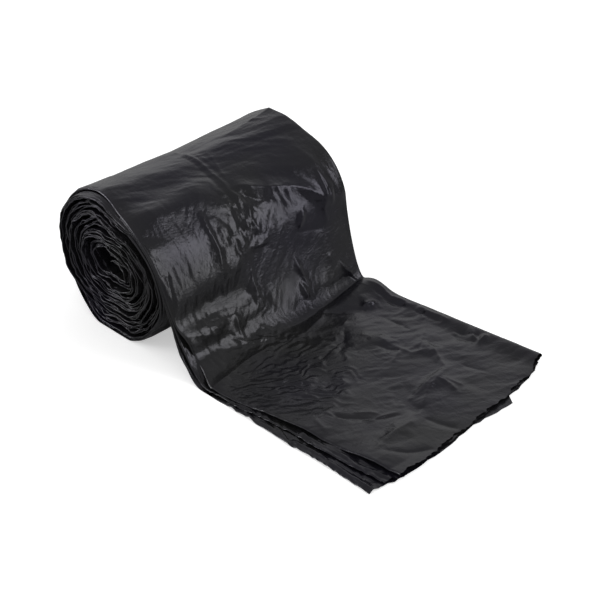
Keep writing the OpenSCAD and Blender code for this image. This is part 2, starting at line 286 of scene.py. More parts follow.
# Creases that the photograph shows, as places along the strip and distances across it in mm:
# each has its height, its half width and its points. A negative height is a valley.
CREASES = [
    # Centre fold
    (0.88, 1.3, [(385.5, -3), (388.1, -1), (390.3, -2), (391.6, -2), (392.3, -4)]),
    (-0.44, 1.4, [(386.4, -6), (388.6, -5), (390.6, -7), (391.9, -8)]),
    (0.39, 1.3, [(386.9, 3), (389.0, 5), (390.9, 3)]),
    (0.44, 1.3, [(387.6, 12), (389.2, 8), (391.3, 2)]),
    # Ridge that runs across the far half, and the short creases under it
    (0.88, 1.8, [(392.1, -6), (392.1, 0), (392.2, 5), (392.7, 13), (393.2, 23), (393.6, 34)]),
    (0.88, 1.8, [(393.2, 23), (393.6, 34), (394.0, 45), (394.6, 55), (395.3, 64), (395.9, 66)]),
    (-0.88, 1.6, [(392.6, 2), (393.0, 5), (393.6, 12), (393.9, 21)]),
    (0.55, 1.3, [(393.1, 24), (393.8, 24), (394.4, 27)]),
    (0.5, 1.3, [(393.4, 30), (394.2, 31), (394.8, 34)]),
    (0.44, 1.3, [(393.7, 37), (394.5, 37), (395.0, 41)]),
    (-0.55, 1.9, [(394.2, 44), (395.1, 52), (395.7, 62)]),
    # Crumpled film at the end of the centre fold
    (-1.1, 1.9, [(392.4, -6), (392.9, -8), (393.8, -13), (395.0, -20)]),
    (0.99, 1.4, [(392.1, -4), (392.9, -1), (393.6, 1), (394.4, -1), (395.2, 1)]),
    (0.88, 1.3, [(392.7, -8), (393.4, -10), (394.0, -11), (394.5, -13)]),
    (0.77, 1.3, [(394.5, -13), (394.8, -6), (395.2, 1)]),
    (0.66, 1.3, [(394.5, -13), (395.1, -14), (395.8, -13)]),
    (0.77, 1.6, [(395.9, -12), (396.2, -2), (396.4, 8)]),
    (-0.66, 1.6, [(396.3, -12), (396.6, -2), (396.8, 8)]),
    # Facets and the long crease between the crumpled film and the near half
    (1.4, 1.3, [(392.6, -35), (393.4, -36), (394.2, -37), (395.3, -36), (397.1, -39)]),
    (-0.55, 1.4, [(395.4, -31), (396.4, -33), (398.2, -34), (400.0, -36)]),
    (0.55, 1.1, [(396.3, -20), (397.6, -26), (398.2, -27)]),
    (-0.99, 1.4, [(392.5, -79), (393.6, -81), (394.5, -83), (395.6, -82), (399.0, -83)]),
    (0.66, 1.3, [(393.6, -84), (394.5, -87), (395.4, -88)]),
    # The diamond beside the far edge
    (1.3, 1.3, [(393.6, 68), (394.1, 68), (394.7, 67), (395.6, 67)]),
    (0.77, 1.3, [(395.6, 65), (395.9, 63), (397.7, 66)]),
    (1.2, 1.6, [(395.4, 45), (395.9, 41), (396.6, 37)]),
    (-0.55, 1.9, [(397.1, 35), (397.6, 49), (398.2, 62)]),
    # The crest of the roll
    (0.35, 1.4, [(388.6, 25), (389.1, 39), (389.2, 50), (389.7, 61)]),
    (0.35, 1.6, [(384.6, 58), (386.7, 66), (388.1, 75)]),
    (0.4, 1.8, [(386.1, 10), (385.7, 19), (386.4, 24)]),
    # Down the drop
    (1.5, 1.3, [(399.8, -15), (401.0, -14), (402.1, -13), (403.0, -12)]),
    (-0.66, 1.3, [(399.8, -12), (401.1, -11), (402.4, -10)]),
    (1.3, 1.1, [(400.6, 29), (402.3, 32), (404.1, 35)]),
    (1.1, 1.3, [(402.9, 27), (404.2, 29), (405.4, 30)]),
    (0.66, 1.4, [(401.2, 61), (401.7, 62), (402.3, 63)]),
    (1.3, 1.6, [(402.8, 71), (403.6, 73), (405.3, 79), (408.1, 86)]),
    (1.3, 1.3, [(402.3, -39), (403.6, -40), (404.7, -40), (406.3, -39)]),
    (0.99, 1.4, [(404.8, -26), (406.1, -17), (408.4, -15)]),
    (0.88, 1.4, [(405.2, -36), (407.1, -28), (408.4, -15)]),
    (0.99, 1.3, [(402.3, -62), (403.4, -57), (404.1, -50)]),
    (-0.99, 1.6, [(402.1, -64), (402.2, -51), (402.3, -37), (402.5, -17)]),
    (1.1, 1.3, [(402.4, -84), (402.7, -76), (403.9, -57), (406.4, -40), (408.6, -15)]),
    (-0.66, 1.3, [(405.4, -60), (406.2, -52), (406.8, -47)]),
    (0.55, 1.1, [(405.8, -56), (406.6, -50), (407.0, -44)]),
    # Where the steep film meets the floor
    (1.5, 2.4, [(410.2, -93), (410.1, -83), (409.5, -62), (409.3, -44), (409.5, -18)]),
    (1.2, 2.4, [(409.5, -18), (410.5, -2), (410.2, 25), (408.4, 40)]),
    (-1.6, 2.2, [(408.7, 29), (410.8, 41), (412.5, 55), (413.4, 72)]),
    (1.4, 2.0, [(412.2, 60), (412.9, 66), (413.3, 74)]),
    # On the floor
    (-1.3, 1.3, [(412.6, -43), (413.4, -30), (413.2, -22), (414.8, -14), (414.4, 0), (414.3, 16)]),
    (1, 1.6, [(414.3, 16), (412.9, 29), (412.4, 38)]),
    (-1, 1.3, [(418.4, -37), (417.8, -26), (418.7, -19)]),
    (1.2, 1.3, [(420.3, -58), (422.6, -56), (425.0, -43), (426.1, -23)]),
    (-1, 1.2, [(421.6, -60), (423.4, -50), (425.4, -38), (426.6, -24)]),
    (0.65, 1.2, [(419.6, -65), (421.5, -69), (423.3, -71)]),
    (0.78, 1.1, [(423.1, -45), (424.2, -36), (425.0, -33)]),
    (1.6, 2.2, [(422.5, 51), (423.7, 46), (425.6, 37)]),
    (1.6, 2.2, [(425.6, 37), (425.9, 24), (426.2, 9), (427.4, -9)]),
    (-1.2, 1.6, [(428.6, -16), (430.3, -14), (432.0, -10)]),
    (1, 2.0, [(427.8, -55), (427.9, -41), (428.3, -20)]),
    (-1.2, 1.5, [(429.0, -62), (430.7, -52), (432.0, -37)]),
    (1.3, 2.4, [(418.9, 35), (421.3, 36), (421.9, 42), (421.3, 55)]),
    (1, 2.0, [(415.3, 29), (417.0, 34), (418.8, 34)]),
    (0.78, 1.2, [(426.1, 26), (427.6, 23), (428.4, 22)]),
    (0.78, 1.2, [(426.2, 27), (428.4, 30)]),
    (1.3, 2.6, [(418.3, 91), (419.7, 75), (421.2, 50), (420.7, 38)]),
    (-1.8, 1.4, [(425.1, -8), (426.7, -13), (427.4, -13), (427.4, -7)]),
    (1.3, 1.6, [(425.4, 39), (425.5, 21), (425.6, 4)]),
    (1, 1.0, [(426.0, 23), (427.4, 24), (428.3, 21)]),
    (-1.6, 1.6, [(412.8, 30), (415.0, 12), (415.3, 2)]),
    (-1, 1.2, [(417.9, 27), (419.0, 29), (420.2, 33)]),
    (0.91, 1.2, [(420.2, 33), (420.8, 18)]),
    (-1.4, 1.1, [(421.7, -56), (423.6, -51), (425.0, -43)]),
    (-2.1, 1.6, [(422.9, 81), (424.5, 84), (425.6, 87)]),
    (-1, 1.4, [(415.3, 60), (417.5, 61), (418.9, 60)]),
    (1.8, 1.4, [(412.5, 59), (412.6, 65), (413.2, 70)]),
    (1.8, 1.6, [(424.4, 86), (425.9, 80), (426.3, 90)]),
    (-1.2, 1.8, [(423.0, 76), (425.0, 78), (426.0, 81)]),
    (-0.78, 1.6, [(426.3, 50), (427.9, 52), (428.8, 55)]),
    # Beside the far edge
    (1.8, 1.2, [(410.6, 84), (412.4, 86), (413.8, 84), (415.4, 87), (416.6, 85)]),
    (-1.5, 1.2, [(411.4, 80), (413.0, 81), (414.6, 80), (416.4, 82)]),
    (1.5, 1.2, [(417.4, 88), (418.8, 86), (420.4, 88), (421.8, 87)]),
    (-1.2, 1.3, [(417.0, 83), (419.2, 82), (421.0, 84)]),
]


# Facets that stand out, each a low tent of four flat sides: its height, its middle (place
# along the strip, distance across), half its length along, half its width, and its turn
TENTS = [
    (1.3, (392.9, -4), 7, 9, 0),
    (1.0, (394.2, -5), 10, 6, 30),
    (1.2, (394.6, -26), 12, 6, -10),
    (0.9, (393.7, 26), 6, 13, 12),
    (1.6, (394.8, 71), 14, 5, 6),
    (0.9, (396.1, -2), 6, 13, 10),
    (1.0, (395.9, 41), 8, 4, -30),
    (1.0, (401.0, 30), 12, 4, 10),
    (0.9, (404.0, 29), 9, 4, 10),
    (1.4, (400.7, -15), 16, 5, -10),
    (2.2, (402.9, -64), 12, 22, 12),
    (2.4, (404.4, -42), 13, 11, -18),
    (2.2, (406.0, -25), 9, 16, 40),
    (1.4, (401.6, -30), 9, 18, 0),
    (1.7, (405.3, 78), 14, 7, 25),
    (1.5, (412.3, 66), 10, 9, 0),
    (1.3, (417.6, 34), 12, 10, 30),
    (1.6, (422.6, 48), 14, 8, -40),
    (1.4, (425.8, 18), 9, 22, 0),
    (-1.5, (424.6, -4), 12, 12, 20),
    (1.3, (428.0, -36), 10, 26, 8),
    (1.6, (424.6, 84), 6, 8, 30),
    (1.4, (426.2, 86), 5, 6, -30),
]


def tents(a, b):
    """Height of the facets that stand out."""
    total = np.zeros(a.shape)
    for height, (i0, y0), along, across, turn in TENTS:
        da, db = a - arc_of(i0), b - y0
        c, s = cosd(turn), sind(turn)
        x, y = (da * c + db * s) / along, (db * c - da * s) / across
        x = x + 0.2 * soft_noise(a / 7, b / 7, 90)
        tent = np.maximum(0, 1 - np.abs(x) - 0.75 * np.abs(y))
        total = total + height * np.minimum(tent, 0.75)
    return total


def run_length(x, y):
    """Distance along a line of points, from its first one."""
    return np.concatenate([[0.0], np.cumsum(np.hypot(np.diff(x), np.diff(y)))])


def arc_places(start, end, step):
    """Places along the strip, from start to end, about step mm apart at its middle."""
    fine = np.linspace(start, end, int((end - start) * 24) + 1)
    length = run_length(*centre(fine, 0.5))
    n = int(length[-1] / step)
    return np.interp(np.linspace(0, length[-1], n + 1), length, fine)


ARC_I = np.linspace(-18, LAST + 2, 12000)
ARC = run_length(*centre(ARC_I, 0.5))


def arc_of(i):
    """Distance along the strip in mm."""
    return np.interp(i, ARC_I, ARC)


# Half widths over which a crease falls to a third, and past which it is left out
CREASE_SLOPE, CREASE_ROOM = 1.6, 9


def line_height(a, b, height, width, points):
    """A crease along a line of points: sharp on top, and gone at its two ends."""
    px = arc_of(np.array([p[0] for p in points], float))
    py = np.array([p[1] for p in points], float)
    best = np.full(a.shape, 1e9)
    where = np.zeros(a.shape)
    run = run_length(px, py)
    for n in range(len(points) - 1):
        dx, dy = px[n + 1] - px[n], py[n + 1] - py[n]
        span = max(dx * dx + dy * dy, 1e-9)
        t = np.clip(((a - px[n]) * dx + (b - py[n]) * dy) / span, 0, 1)
        d = np.hypot(a - px[n] - t * dx, b - py[n] - t * dy)
        closer = d < best
        best = np.where(closer, d, best)
        where = np.where(closer, run[n] + t * math.sqrt(span), where)
    share = where / run[-1]
    fade = np.sqrt(np.clip(np.minimum(share, 1 - share) * 5, 0.05, 1))
    return height * fade * np.exp(-best / (width * CREASE_SLOPE))


def creases(a, b):
    """Height of the creases that the photograph shows."""
    total = np.zeros(a.shape)
    for height, width, points in CREASES:
        px = arc_of(np.array([p[0] for p in points], float))
        py = np.array([p[1] for p in points], float)
        room = CREASE_ROOM * width
        near = (a > px.min() - room) & (a < px.max() + room)
        near &= (b > py.min() - room) & (b < py.max() + room)
        total[near] += line_height(a[near], b[near], height, width, points)
    return total


def fan(a, b, i0, y0, turn, spread, waves, reach, seed):
    """Fine ripples that fan out from a corner, about one way, over an angle and to a reach."""
    da, db = a - arc_of(i0), b - y0
    r = np.hypot(da, db)
    way = np.degrees(np.arctan2(db, da)) - turn
    window = hump(way / spread) * rise(r, 6, 30) * (1 - rise(r, reach * 0.6, reach))
    phase = waves * way / spread + 3.4 * soft_noise(r / 19, way / 8, seed)
    phase = phase + 1.6 * soft_noise(r / 7, way / 5, seed + 1)
    patch = rise(soft_noise(r / 13 + 5, way / 9, seed + 3), -0.55, 0.6)
    return window * (1 - np.abs(np.sin(phase))) ** 1.3 * (0.25 + 0.75 * patch)


# The ridge that runs across the far half: distance across, and place along the strip
RIDGE_Y = (-6.0, 5.0, 13.0, 23.0, 34.0, 45.0, 55.0, 64.0, 84.0)
RIDGE_I = (392.1, 392.2, 392.7, 393.2, 393.6, 394.0, 394.6, 395.3, 395.8)
RIDGE_H, RIDGE_HALF = 2.1, 7.5

# Where the centre fold ends in crumpled film, and the corner on top of the roll
FOLD_END = (394.2, -10)
CORNER_AT, CORNER_H = WOUND - 8.9, 3.0

# A ridge along the strip beside the far edge: height, distance across and half width
SIDE_RIDGE_H, SIDE_RIDGE_Y, SIDE_RIDGE_HALF = 1.6, 67.5, 9

# Fans of ripples: height, then what fan takes
FANS = [
    (1.7, 410.2, -92, 62, 32, 14, 125, 80),
    (0.5, 392.0, -4, -20, 42, 5, 55, 84),
    (0.45, 412.0, 60, -130, 30, 6, 60, 88),
]

# Layers of creased film: height in mm, then what crumple takes (size, stretch, angle, seed)
NEAR_STREAKS = [(0.20, 3.0, 9.0, 6, 14), (0.09, 1.8, 8.0, -4, 17)]
SLANTED_STREAKS = [(0.22, 3.2, 7.0, -34, 114), (0.09, 1.9, 7.0, -48, 117)]
FAR_STREAKS = [(0.06, 2.8, 7.0, -4, 18), (0.03, 1.8, 6.0, 9, 21)]
CREST_FOLDS = [(0.34, 10, 3.4, 84, 20), (0.18, 5, 3.0, 70, 24), (0.07, 2.6, 2.5, 95, 28)]
DROP_FOLDS = [(1.0, 22, 1.5, 40, 30), (0.42, 9, 2.2, 24, 34), (0.16, 4.4, 2.4, -20, 38)]
FLOOR_FOLDS = [
    (0.75, 21, 1.6, 38, 50),
    (0.36, 8, 2.2, 68, 54),
    (0.26, 4.4, 2.6, 80, 58),
    (0.13, 2.4, 2.6, 62, 62),
]
FOLD_END_FOLDS = [(1.0, 8, 1.5, 62, 240), (0.4, 4.2, 1.5, 20, 244)]
RAYS = [(2.2, 6.5, 4.0, 108, 250), (0.9, 3.2, 5.0, 120, 254)]
CORE_FOLDS = [(0.5, 6, 2.5, 80, 400), (0.25, 3, 2.5, 100, 404)]


def layers(a, b, table):
    """Height of creased film, from a table of its layers."""
    return sum(height * crumple(a, b, *form) for height, *form in table)


def streaks(a, b):
    """Fine streaks along the strip, where the film is drawn round the roll."""
    near = lerp(layers(a, b, NEAR_STREAKS), layers(a, b, SLANTED_STREAKS), rise(b, -72, -28))
    return lerp(near, layers(a, b, FAR_STREAKS), rise(b, -20, 50))


def swell(a, height, place, half):
    """A bulge across the strip, at a place along it and with a half length in mm."""
    return height * hump((a - arc_of(place)) / half)


def bulges(a, b):
    """The larger forms of the drop: a shoulder, a band, a hollow, then folds above the floor."""
    nearer = 1 - rise(b, -40, 6)
    rays = layers(b, a, RAYS)
    uneven = soft_noise(b / 11, a / 60, 260)
    out = swell(a, 3.8, 391.2, 14) * (1 - rise(b, -30, 0)) * rise(b, -92, -66)
    out = out + swell(a + rays + 0.12 * (b + 50), 2.4, 397.2, 14) * nearer
    out = out - swell(a + 0.6 * rays, 1.8, 400.6, 9) * nearer
    out = out + swell(a - 0.10 * b, 2.0, 403.6, 8) * (1 - rise(b, -22, 6))
    out = out - swell(a, 2.8, 404.9, 9) * (1 - rise(b, -24, 10))
    out = out - swell(a + 2.5 * uneven, 3.0 + 1.3 * uneven, 407.2, 8.5) * rise(b, -12, 18)
    return out + swell(a, 1.4, 409.4, 9)


def surface(i, y):
    """Height that the top ply stands out by, over the strip's own outer face."""
    a, b = arc_of(i), y
    leave = arc_of(WOUND)
    # How much a place belongs to the film round the roll, to the drop and to the floor
    tight = 1 - rise(a, leave - 70, leave - 15)
    mid = rise(a, leave - 75, leave - 30) * (1 - rise(a, leave + 85, leave + 115))
    ground = rise(a, leave + 70, leave + 110)
    rough = 0.55 + 0.45 * soft_noise(a / 26, b / 30, 70)
    calm = 0.5 + 0.5 * soft_noise(a / 31, b / 22, 72)
    broad = 0.9 * soft_noise(a / 34, b / 42, 11) + 0.5 * soft_noise(a / 17, b / 23, 12)
    out = 0.55 * broad * (1 - 0.5 * ground) * lerp(1, 1.6, tight)
    out = out + lerp(1.0, 1.35, rise(b, -40, 0)) * layers(a, b, CREST_FOLDS) * tight
    # The near half of the roll is drawn smooth, the far half is slack
    drawn = (1 - rise(b, -34, -8)) * (1 - rise(a, arc_of(398.2), arc_of(401)))
    quiet = rise(b, -10, 10) * (1 - rise(a, arc_of(407), arc_of(409)))
    folds = layers(a, b, DROP_FOLDS)
    out = out + folds * mid * rough * (1 - 0.75 * drawn) * (1 - 0.4 * quiet)
    fold_a, fold_b = arc_of(FOLD_END[0]), FOLD_END[1]
    crumpled = hump((a - fold_a) / 22) * hump((b - fold_b) / 19)
    out = out + crumpled * layers(a, b, FOLD_END_FOLDS)
    out = out + SIDE_RIDGE_H * hump((b - SIDE_RIDGE_Y) / SIDE_RIDGE_HALF) * hump((a - fold_a) / 26)
    ridge = arc_of(np.interp(b, RIDGE_Y, RIDGE_I))
    out = out + RIDGE_H * hump((a - ridge) / RIDGE_HALF) * rise(b, -6, 12)
    out = out + 1.6 * streaks(a, b) * (1 - ground) * (0.35 + 0.65 * mid) * calm
    lying = layers(a, b, FLOOR_FOLDS) * (1 - 0.35 * rise(i, 418, 424))
    out = out + 1.5 * lying * ground * rough
    out = out + bulges(a, b)
    for height, *form in FANS:
        out = out + height * fan(a, b, *form)
    out = out + creases(a, b) + tents(a, b)
    edge = np.minimum(b - near_y(i), far_y(i) - b)
    out = out * rise(edge, -3, 7) + 0.35 * land_share(i)
    # The corner that the far edge makes on top of the roll
    corner = np.exp(-np.abs(a - arc_of(CORNER_AT)) / 9) * rise(b, 10, 86)
    return out + CORNER_H * corner


# Meshes


def grid_faces(rows, cols):
    """Four-cornered faces of a grid of points, in rows."""
    r, c = np.meshgrid(np.arange(rows - 1), np.arange(cols - 1), indexing="ij")
    a = (r * cols + c).ravel()
    return np.stack([a, a + cols, a + cols + 1, a + 1], 1).astype(np.int32)


def add_film(name, points, body="root"):
    """A smooth piece of film over a grid of points in mm."""
    faces = grid_faces(*points.shape[:2])
    count = len(faces)
    mesh = bpy.data.meshes.new(name)
    mesh.vertices.add(points.shape[0] * points.shape[1])
    mesh.vertices.foreach_set("co", (np.asarray(points, np.float32) * MM).ravel())
    mesh.loops.add(faces.size)
    mesh.loops.foreach_set("vertex_index", faces.ravel())
    mesh.polygons.add(count)
    mesh.polygons.foreach_set("loop_start", np.arange(0, faces.size, 4, dtype=np.int32))
    mesh.polygons.foreach_set("loop_total", np.full(count, 4, np.int32))
    mesh.polygons.foreach_set("use_smooth", np.ones(count, bool))
    mesh.update(calc_edges=True)
    mesh.validate()
    mesh.materials.append(film)
    piece = bpy.data.objects.new(name, mesh)
    bpy.context.scene.collection.objects.link(piece)
    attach(piece, body)
    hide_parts("bag_roll")


def map_range(tree, source, from_span, to_span):
    """A socket that takes one span of values to another."""
    node = tree.nodes.new("ShaderNodeMapRange")
    node.inputs["From Min"].default_value, node.inputs["From Max"].default_value = from_span
    node.inputs["To Min"].default_value, node.inputs["To Max"].default_value = to_span
    tree.links.new(source, node.inputs["Value"])
    return node.outputs["Result"]


def film_material():
    """Thin black polythene: glossy, duller in patches here and there, and finely creased all over."""
    m = bpy.data.materials.new("black_film")
    m.use_nodes = True
    nodes, links = m.node_tree.nodes, m.node_tree.links
    shader = nodes["Principled BSDF"]
    place = nodes.new("ShaderNodeTexCoord")

    def noise(scale, detail, rough, stretch=(1, 1, 1), distort=0.0):
        mapping = nodes.new("ShaderNodeMapping")
        mapping.inputs["Scale"].default_value = stretch
        links.new(place.outputs["Object"], mapping.inputs["Vector"])
        n = nodes.new("ShaderNodeTexNoise")
        n.inputs["Scale"].default_value = scale
        n.inputs["Detail"].default_value = detail
        n.inputs["Roughness"].default_value = rough
        n.inputs["Distortion"].default_value = distort
        links.new(mapping.outputs["Vector"], n.inputs["Vector"])
        return n.outputs["Fac"]

    def blend(share, first, second, socket):
        """A colour from first to second, into a socket of the shader."""
        mix = nodes.new("ShaderNodeMix")
        mix.data_type = "RGBA"
        mix.inputs["A"].default_value = first
        mix.inputs["B"].default_value = second
        links.new(share, mix.inputs["Factor"])
        links.new(mix.outputs["Result"], shader.inputs[socket])

    # Nearly black, a little bluer or greener from place to place, in its colour and its sheen
    patch = map_range(m.node_tree, noise(14, 3, 0.5), (0.35, 0.65), (0, 1))
    blend(patch, (0.0060, 0.0056, 0.0086, 1), (0.0090, 0.0090, 0.0088, 1), "Base Color")
    patch = map_range(m.node_tree, noise(11, 2, 0.5), (0.42, 0.62), (0, 1))
    blend(patch, (0.86, 0.84, 1.0, 1), (0.91, 0.91, 0.96, 1), "Specular Tint")
    # Patches of dull and glossy film
    patch = noise(22, 4, 0.6, distort=0.6)
    links.new(map_range(m.node_tree, patch, (0.3, 0.7), (0.13, 0.29)), shader.inputs["Roughness"])
    shader.inputs["Specular IOR Level"].default_value = 0.42
    shader.inputs["IOR"].default_value = 1.5
    # Fine creases, too small for the mesh
    fine = noise(420, 5, 0.62, (1.0, 0.45, 1.0), 1.2)
    broad = noise(130, 3, 0.55, (0.6, 1.0, 1.0), 1.6)
    both = nodes.new("ShaderNodeMath")
    both.operation = "MULTIPLY_ADD"
    links.new(broad, both.inputs[0])
    both.inputs[1].default_value = 1.6
    links.new(fine, both.inputs[2])
    bump = nodes.new("ShaderNodeBump")
    bump.inputs["Strength"].default_value = 0.27
    bump.inputs["Distance"].default_value = 0.0006
    links.new(both.outputs["Value"], bump.inputs["Height"])
    links.new(bump.outputs["Normal"], shader.inputs["Normal"])
    return m


film = film_material()


def place_points(i, v, y, h):
    """Points on the strip at height h over its centre line."""
    x, z = centre(i, v)
    nx, nz = outward(i, v)
    return np.stack([x + nx * h, y + 0 * x, np.maximum(z + nz * h, FLOOR_SKIN)], -1)


def share_of_roll(y):
    """Place across the strip, from 0 to 1, in the roll."""
    return (y + STRIP_W / 2) / STRIP_W


def share_of_strip(i, y):
    """Place across the strip, from 0 to 1, where its edges wander and spread."""
    return np.clip((y - near_y(i)[:, None]) / (far_y(i) - near_y(i))[:, None], 0, 1)


def curled(points, i, v, side, curl, tall):
    """Points past an edge: each goes aside by its first number and up by its second."""
    nx, nz = outward(i, 0 * i + v)
    return [points + np.stack([nx * d, side * c + 0 * nx, nz * d], -1)[:, None] * tall for c, d in curl]


def shift_end(points, shift, rows):
    """Moves the last rows of points along the strip, each less than the one after it."""
    for n in range(rows):
        points[-1 - n, :, 0] += shift * (1 - n / rows)


# The plies of the strip, as folds that open inwards: height of each over the centre line
PLY_HIGH = (-0.8, 0.0, 0.8)
FOLD_T = 0.8


def edge_wander(i, ply, far):
    """How far a fold's edge stands in from the line of the edges, in mm."""
    a = arc_of(i)
    seed = 100 + 10 * ply + 5 * far
    slow = 1.8 * soft_noise(a / 46, a * 0 + ply, seed)
    quick = 0.8 * facet_noise(a / 5.5, a * 0 + ply, seed + 1)
    jump = 1.8 * soft_noise(a / 15, a * 0 + ply + 0.5, seed + 2)
    outer = rise(i, OUTER_FROM - 40, OUTER_FROM)
    return 1.6 + (slow + quick + jump) * lerp(1, 0.35, outer)


def fold_section(deep, across):
    """Section of a fold: in along its upper side, round its tip and back along its lower side."""
    t = np.linspace(1, 0, across) ** 1.6
    side = t * deep + FOLD_T / 2
    turn = np.radians(np.array([60.0, 0.0, -60.0]))
    inward = np.concatenate([side, FOLD_T / 2 * (1 - np.cos(turn)), side[::-1]])
    high = np.concatenate([np.full(across, 0.5), 0.5 * np.sin(turn), np.full(across, -0.5)])
    return inward, high * FOLD_T


def add_folds(name, ply, far, step, start, deep, across):
    """A fold of film along the whole spiral, at one end of the roll."""
    i = arc_places(start, WOUND + 1.0, step)
    edge = far_y(i) if far else near_y(i)
    inward = -1.0 if far else 1.0
    tip = edge + inward * edge_wander(i, ply, far)
    u, w = fold_section(deep, across)
    I, U = np.meshgrid(i, u, indexing="ij")
    W = np.broadcast_to(w, I.shape)
    A = np.broadcast_to(arc_of(i)[:, None], I.shape)
    y = tip[:, None] + inward * U
    loose = np.exp(-U / 9.0)
    seed = 200 + 20 * ply + 10 * far
    patch = rise(soft_noise(A / 21, W * 0 + 3, seed + 12), -0.2, 0.5)
    wave = (
        0.9 * crumple(A, U, 9, 1.0, 90, seed)
        + patch * crumple(A, U, 4.6, 1.2, 90, seed + 3)
        + 0.7 * soft_noise(A / 30, U / 30, seed + 6)
        + 1.3 * crumple(A, U, 13, 1.0, 90, 190 + 10 * far)
        + 0.5 * patch * facet_noise(A / 4, W * 0 + ply, seed + 8)
    )
    # The fold's two sides stand apart near its tip
    h = PLY_HIGH[ply] + W * (1 + 0.9 * loose * np.abs(soft_noise(A / 8, W * 0, seed + 7)))
    inner = 1 - smooth(I / TURN_STEPS / 5)
    outer = rise(I, OUTER_FROM - 30, OUTER_FROM)
    h = h + wave * loose * (0.72 + 0.2 * inner) * (1 - 0.6 * outer)
    add_film(name, place_points(I, np.clip(share_of_roll(y), 0, 1), y, h))


# Curls of an edge: distance aside and height of each point past it
TOP_NEAR_CURL = [(0.45, -0.1), (0.9, -0.42), (1.15, -0.95)]
TOP_FAR_CURL = [(0.7, -0.25), (1.15, -0.8), (1.15, -1.5), (0.6, -2.1)]
LOWER_CURL = [(0.4, -0.1), (0.75, -0.38), (0.9, -0.8), (-3.0, -0.85), (-8.0, -0.85)]

# The torn edge: depth in mm, pitch in mm and seed of each kind of notch, and its limits
TEAR = [(0.9, 1.9, 300), (1.3, 5.3, 301), (1.5, 15.0, 302)]
TEAR_IN, TEAR_OUT = -2.8, 2.4


def add_top():
    """The outermost ply: the outer turn, the drop and the unrolled end."""
    behind = arc_places(OUTER_FROM - 5, WOUND - 13, 2.5)[:-1]
    in_view = arc_places(WOUND - 13, LAST + END_LAP, 0.86)
    i = np.concatenate([behind, in_view])
    low = near_y(i) + ply_back(i) + gape(i)
    high = far_y(i) - 0.5
    I, S = np.meshgrid(i, np.linspace(0, 1, 170), indexing="ij")
    y = lerp(low[:, None], high[:, None], S)
    share, free = floor_share(I), land_share(I)
    # The two edges stand up off the plies below
    lifted = 0.8 + 0.6 * soft_noise(arc_of(I) / 24, 0 * I, 310)
    lifted = NEAR_LOFT * (lifted + 0.4 * facet_noise(arc_of(I) / 11, 0 * I, 312))
    near_loft = lifted * hump((y - low[:, None]) / 26.0)
    far_loft = FAR_LOFT * hump((far_y(i)[:, None] - y) / 10.0) * lerp(0.5, 1, share)
    h = STRIP_T / 2 + free * (near_loft + far_loft) + surface(I, y)
    # The film lies on what is under it
    h = np.maximum(h, STRIP_T / 2 - 0.9 * (1 - free) - 0.6 * free)
    points = place_points(I, share_of_strip(i, y), y, h)
    tall = 1 + 1.1 * land_share(i) * lerp(0.4, 1, floor_share(i))
    near = curled(points[:, :1], i, 0, -1, TOP_NEAR_CURL, 1)
    far = curled(points[:, -1:], i, 1, 1, TOP_FAR_CURL, tall[:, None, None])
    points = np.concatenate([*near[::-1], points, *far], 1)
    along_edge = points[-1, :, 1]
    tear = sum(deep * facet_noise(along_edge / pitch, along_edge * 0, seed) for deep, pitch, seed in TEAR)
    shift_end(points, np.clip(tear, TEAR_IN, TEAR_OUT), 4)
    points[:, :, 2] = np.maximum(points[:, :, 2], TOP_SKIN)
    add_film("film_top", points)


def add_lower(name, ply, high, back_share, reach, seed):
    """A lower ply of the drop and the unrolled end: its near edge shows past the top ply's."""
    i = arc_places(WOUND - 6, LAST + END_LAP, 1.2)
    s = np.concatenate([np.linspace(0, 0.14, 33)[:-1], np.linspace(0.14, 1, 31)])
    wander = 1.1 * soft_noise(arc_of(i) / 26, 0 * i, seed) + 0.5 * facet_noise(arc_of(i) / 8, 0 * i, seed)
    back = ply_back(i) * back_share + gape(i) * back_share * 0.45
    low = near_y(i) + back + (wander + 0.4) * land_share(i)
    I, S = np.meshgrid(i, s, indexing="ij")
    y = lerp(low[:, None], far_y(i)[:, None] - 2.5, S)
    a, free, aside = arc_of(I), land_share(I), y - low[:, None]
    bare = np.exp(-aside / 14.0)
    folds = 1.2 * crumple(a, y, 5, 3.4, 6, seed + 1) + 0.8 * crumple(a, y, 2.6, 2.6, -10, seed + 4)
    h = high * lerp(0.5, 1, free) + bare * free * (0.35 + 1.2 * np.abs(folds))
    # A fold that runs along the strip beside the ply's edge
    sway = 1.3 * soft_noise(a / 28, 0 * a, seed + 11)
    some = rise(soft_noise(a / 19, 0 * a, seed + 15), -0.5, 0.2)
    h = h + 1.1 * some * rise(floor_share(I), 0.22, 0.5) * hump((aside - 3.2 - sway) / 1.4)
    # The plies part on the drop, the lowest most
    parted = hump((a - arc_of(WOUND + 9)) / 26.0)
    h = h - bare * parted * (0.5 + 2.2 * (1 - ply))
    h = h + bare * free * 0.3 * floor_share(I)
    points = place_points(I, share_of_strip(i, y), y, h)
    edge = curled(points[:, :1], i, 0, -1, LOWER_CURL, 1)
    points = np.concatenate([*edge[::-1], points], 1)
    along_edge = points[-1, :, 1]
    shift = reach + 0.9 * facet_noise(along_edge / 2.7, along_edge * 0, seed + 7)
    if ply == 0:
        across = (along_edge - along_edge.min()) / (along_edge.max() - along_edge.min())
        t = (across - TONGUE_AT) / (TONGUE_W / STRIP_W)
        shift = shift + np.where((t > 0) & (t <= 1), TONGUE_REACH * t, 0)
    shift_end(points, shift, 8)
    points[:, :, 2] = np.maximum(points[:, :, 2], FLOOR_SKIN + 0.1 * ply)
    add_film(name, points)


